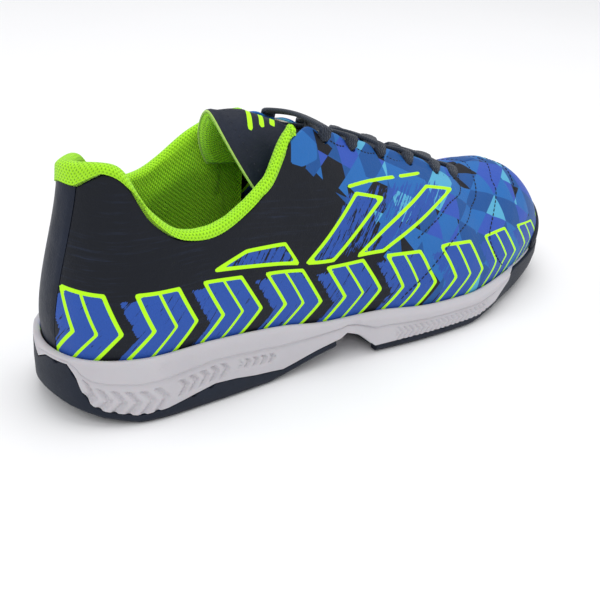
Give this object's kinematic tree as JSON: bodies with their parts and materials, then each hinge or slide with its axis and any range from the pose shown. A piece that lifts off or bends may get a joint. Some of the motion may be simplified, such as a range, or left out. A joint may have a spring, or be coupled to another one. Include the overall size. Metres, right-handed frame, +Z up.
{
  "type": "court shoe",
  "caption": "Low-cut lace-up court shoe for the right foot with a rubber-treaded cup sole, padded rolled collar, hinged padded tongue and removable insole.",
  "frame": {"origin": "bottom centre of the shoe's bounding box, on the ground under the tread", "axes": "+X from the heel to the toe, +Y towards the inner (medial) side of this right shoe, +Z up"},
  "size_m": [0.2822, 0.0941, 0.109],
  "materials": {
    "midsole_foam": "matte moulded foam",
    "outsole_rubber": "matte rubber",
    "printed_leather": "fine-grained synthetic leather with print",
    "plain_leather": "fine-grained synthetic leather",
    "lime_mesh": "knitted mesh",
    "lining_cloth": "woven cloth",
    "soft_foam": "open-cell foam",
    "fibre_board": "pressed fibre board",
    "shank_steel": "spring steel strip",
    "stiffener": "thermoplastic sheet",
    "lace_cord": "braided polyester",
    "lace_tip": "glossy film"
  },
  "bodies": {
    "root": {"midsole": "midsole_foam", "outsole_rear": "outsole_rubber", "outsole_front": "outsole_rubber", "toe_bumper": "outsole_rubber", "lasting_board": "fibre_board", "shank": "shank_steel", "upper": "printed_leather", "heel_backstay": "plain_leather", "heel_counter": "stiffener", "toe_puff": "stiffener", "collar_foam": "soft_foam", "collar_lining": "lime_mesh", "vamp_lining": "lining_cloth", "eyestay_backer_lateral": "lining_cloth", "eyestay_backer_medial": "lining_cloth", "lace": "lace_cord", "aglet_lateral": "lace_tip", "aglet_medial": "lace_tip"},
    "tongue": {"tongue_shell": "plain_leather", "tongue_foam": "soft_foam", "tongue_lining": "lime_mesh"},
    "insole": {"sockliner_foam": "soft_foam", "sockliner_cover": "lining_cloth"}
  },
  "joints": [
    {"name": "tongue_hinge", "type": "hinge", "parent": "root", "child": "tongue", "pos_m": [0.06925, 0, 0.054], "axis": [0, -1, 0], "range_deg": [0, 10], "stiffness_Nm_per_rad": 0.4, "springref_deg": -8.59},
    {"name": "insole_lift", "type": "hinge", "parent": "root", "child": "insole", "pos_m": [0.13175, 0, 0.017], "axis": [0, 1, 0], "range_deg": [0, 3.5]}
  ]
}
